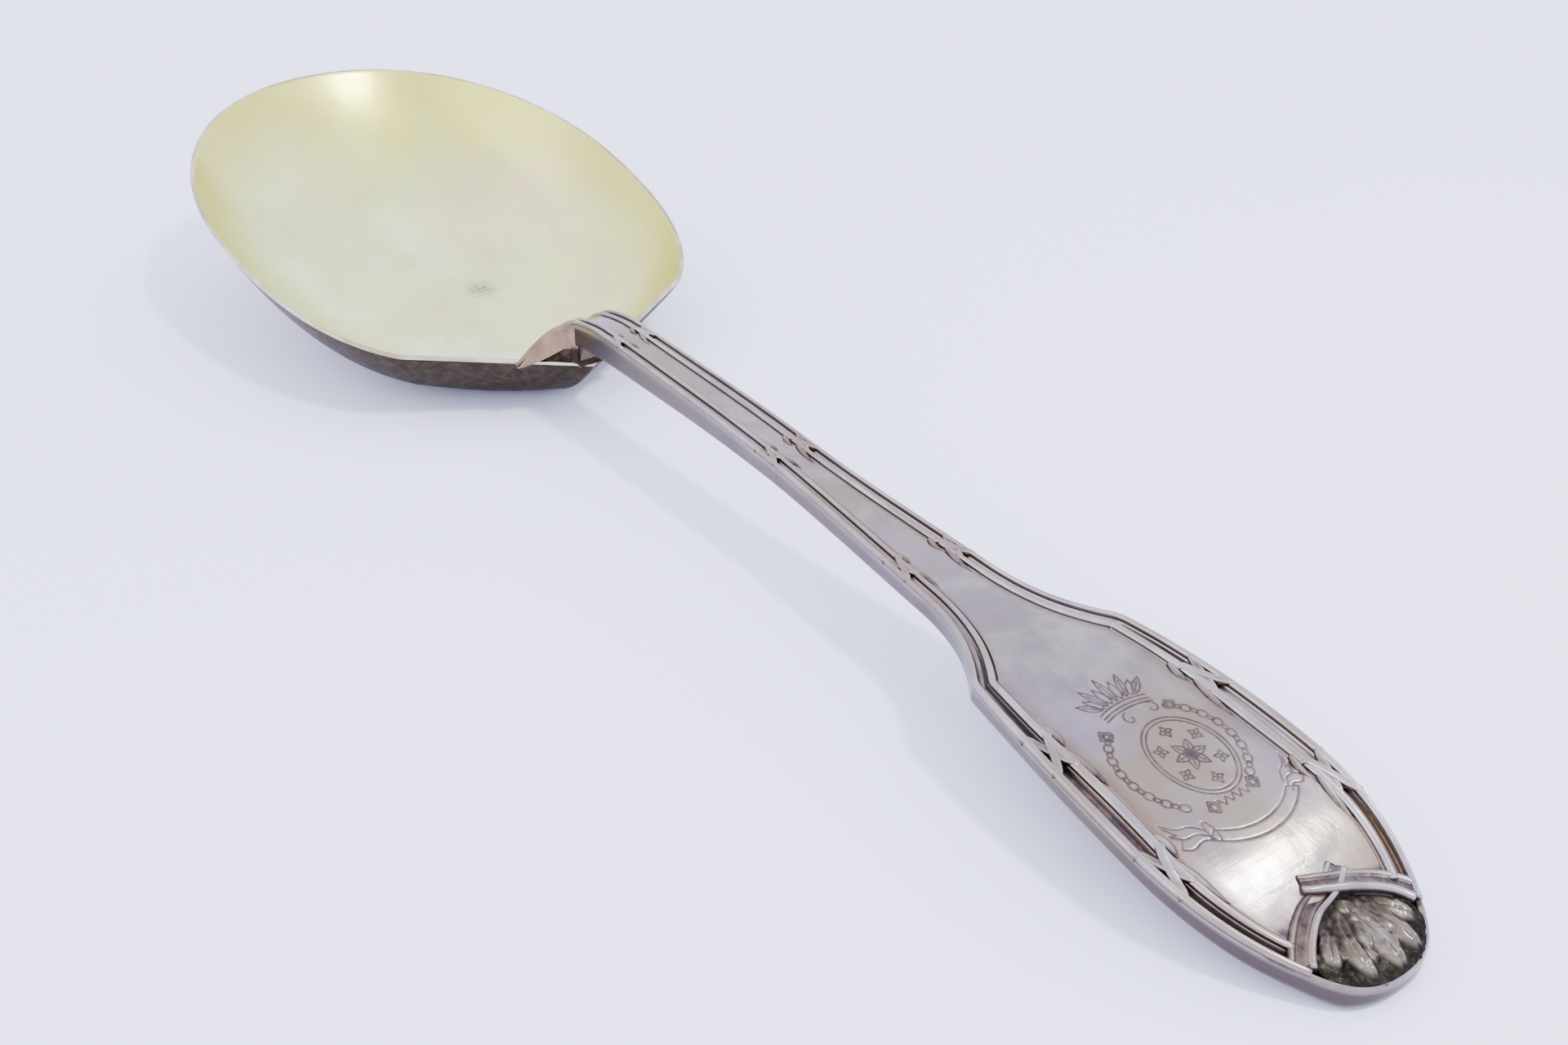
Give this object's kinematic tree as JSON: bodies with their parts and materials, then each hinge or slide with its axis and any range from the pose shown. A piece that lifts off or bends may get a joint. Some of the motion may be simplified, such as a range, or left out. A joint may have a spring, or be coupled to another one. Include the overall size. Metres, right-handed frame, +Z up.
{
  "type": "serving spoon",
  "caption": "Antique style silver serving spoon with a gilt oval bowl and an arched, reeded handle with ribbon ties and a leaf tip.",
  "frame": {"origin": "under the middle of the spoon, on the surface that it rests on", "axes": "+X from the bowl to the handle's tip, +Z up, Y across; the spoon lies bowl side up"},
  "size_m": [0.2466, 0.074, 0.0307],
  "materials": {
    "gilt_bowl": "worn pale gilding inside, silver outside, satin",
    "silver": "old silver, satin polish with light toning",
    "worn_silver": "silver polished by wear on raised edges",
    "dark_silver": "oxidised silver in the relief, bright on top",
    "solder": "dull silver solder"
  },
  "bodies": {
    "root": {"acanthus_leaf": "dark_silver", "bowl": "gilt_bowl", "corner_strap_left": "worn_silver", "corner_strap_right": "worn_silver", "handle": "silver", "inner_reed_left": "worn_silver", "inner_reed_right": "worn_silver", "lower_blade_tie_left": "worn_silver", "lower_blade_tie_right": "worn_silver", "lower_stem_tie_left": "worn_silver", "lower_stem_tie_right": "worn_silver", "neck_shoulder": "silver", "neck_solder": "solder", "neck_tie_left": "worn_silver", "neck_tie_right": "worn_silver", "outer_reed_left": "worn_silver", "outer_reed_right": "worn_silver", "upper_blade_tie_left": "worn_silver", "upper_blade_tie_right": "worn_silver", "upper_stem_tie_left": "worn_silver", "upper_stem_tie_right": "worn_silver"}
  },
  "joints": []
}
